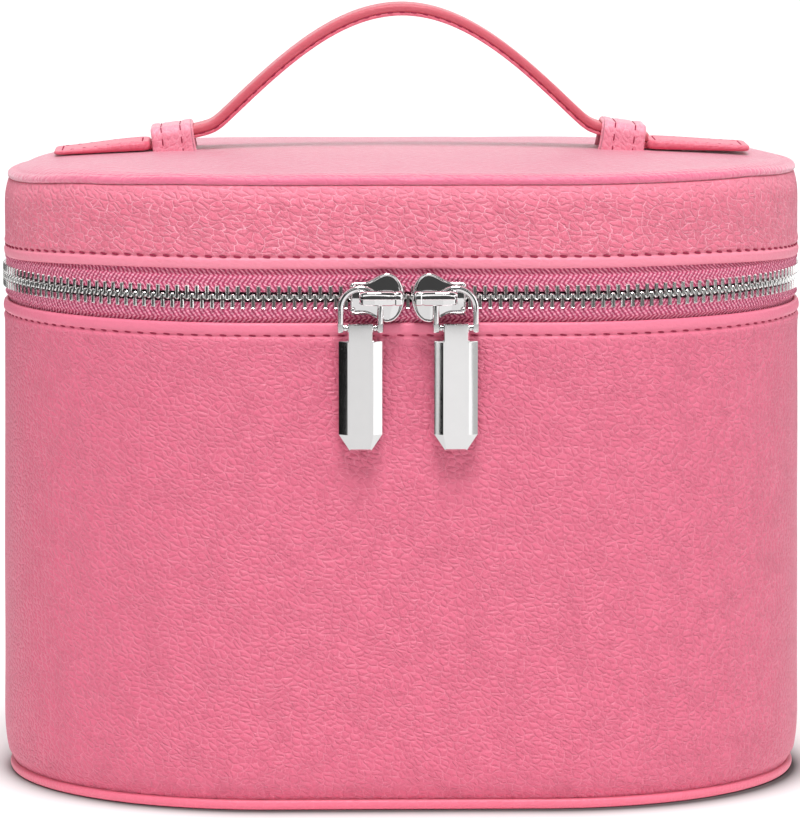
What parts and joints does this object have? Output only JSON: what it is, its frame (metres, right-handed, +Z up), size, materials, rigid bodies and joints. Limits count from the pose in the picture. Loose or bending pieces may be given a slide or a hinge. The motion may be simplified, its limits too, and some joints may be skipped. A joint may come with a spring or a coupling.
{
  "type": "makeup train case",
  "caption": "Oval leather makeup case with a zipped lid hinged at the back, two zip sliders with bar pulls, and a strap handle that slides through loops on the lid.",
  "frame": {"origin": "centre of the footprint, on the plane the case stands on", "axes": "+Z up, front with the zip pulls faces -Y, +X to the right as seen from the front"},
  "size_m": [0.2298, 0.1602, 0.2214],
  "materials": {
    "pink_leather": "pebbled satin",
    "strap_backing": "smooth satin",
    "lining_fabric": "fine woven",
    "stiff_board": "matte",
    "foam": "matte",
    "zip_tape": "woven",
    "zip_metal": "bright",
    "pull_metal": "polished"
  },
  "bodies": {
    "case": {"body_wall": "pink_leather", "body_stiffener": "stiff_board", "body_lining": "lining_fabric", "base_panel": "pink_leather", "base_board": "stiff_board", "floor_lining": "lining_fabric", "lower_zip_tape": "zip_tape", "lower_zip_teeth": "zip_metal", "lower_zip_stops": "zip_metal", "hinge_flap": "pink_leather", "hinge_lining": "lining_fabric"},
    "lid": {"lid_band": "pink_leather", "lid_band_stiffener": "stiff_board", "lid_side_lining": "lining_fabric", "lid_top_lining": "lining_fabric", "lid_board": "stiff_board", "lid_foam": "foam", "lid_panel": "pink_leather", "upper_zip_tape": "zip_tape", "upper_zip_teeth": "zip_metal", "upper_zip_stops": "zip_metal", "left_strap_loop": "pink_leather", "right_strap_loop": "pink_leather", "handle_strap": "pink_leather", "handle_strap_backing": "strap_backing"},
    "left_strap_end": {"left_strap_end": "pink_leather"},
    "right_strap_end": {"right_strap_end": "pink_leather"},
    "left_slider": {"left_slider_body": "pull_metal", "left_slider_crown": "pull_metal"},
    "left_bail": {"left_bail": "pull_metal", "left_pull_pin": "pull_metal"},
    "left_pull_tab": {"left_pull_tab": "pull_metal"},
    "right_slider": {"right_slider_body": "pull_metal", "right_slider_crown": "pull_metal"},
    "right_bail": {"right_bail": "pull_metal", "right_pull_pin": "pull_metal"},
    "right_pull_tab": {"right_pull_tab": "pull_metal"}
  },
  "joints": [
    {"name": "lid_hinge", "type": "hinge", "parent": "case", "child": "lid", "pos_m": [0, 0.0765, 0.14405], "axis": [-1, 0, 0], "range_deg": [0, 105], "deforming": ["hinge_flap", "hinge_lining"]},
    {"name": "right_strap_slide", "type": "slide", "parent": "lid", "child": "right_strap_end", "axis": [1, 0, 0], "range_m": [0, 0.01], "deforming": ["handle_strap", "handle_strap_backing"]},
    {"name": "left_strap_slide", "type": "slide", "parent": "lid", "child": "left_strap_end", "axis": [-1, 0, 0], "range_m": [0, 0.01], "deforming": ["handle_strap", "handle_strap_backing"]},
    {"name": "left_slider_slide", "type": "slide", "parent": "case", "child": "left_slider", "axis": [-1, 0, 0], "range_m": [0, 0.024]},
    {"name": "left_bail_swing", "type": "hinge", "parent": "left_slider", "child": "left_bail", "pos_m": [-0.0132, -0.0793, 0.1467], "axis": [-1, 0, 0], "range_deg": [0, 24]},
    {"name": "left_pull_swing", "type": "hinge", "parent": "left_bail", "child": "left_pull_tab", "pos_m": [-0.0132, -0.0793, 0.1358], "axis": [-1, 0, 0], "range_deg": [0, 125]},
    {"name": "right_slider_slide", "type": "slide", "parent": "case", "child": "right_slider", "axis": [1, 0, 0], "range_m": [0, 0.024]},
    {"name": "right_bail_swing", "type": "hinge", "parent": "right_slider", "child": "right_bail", "pos_m": [0.0132, -0.0793, 0.1467], "axis": [-1, 0, 0], "range_deg": [0, 24]},
    {"name": "right_pull_swing", "type": "hinge", "parent": "right_bail", "child": "right_pull_tab", "pos_m": [0.0132, -0.0793, 0.1358], "axis": [-1, 0, 0], "range_deg": [0, 125]}
  ],
  "couplings": [
    {"joint": "left_strap_slide", "follows": "right_strap_slide", "ratio": 1}
  ]
}
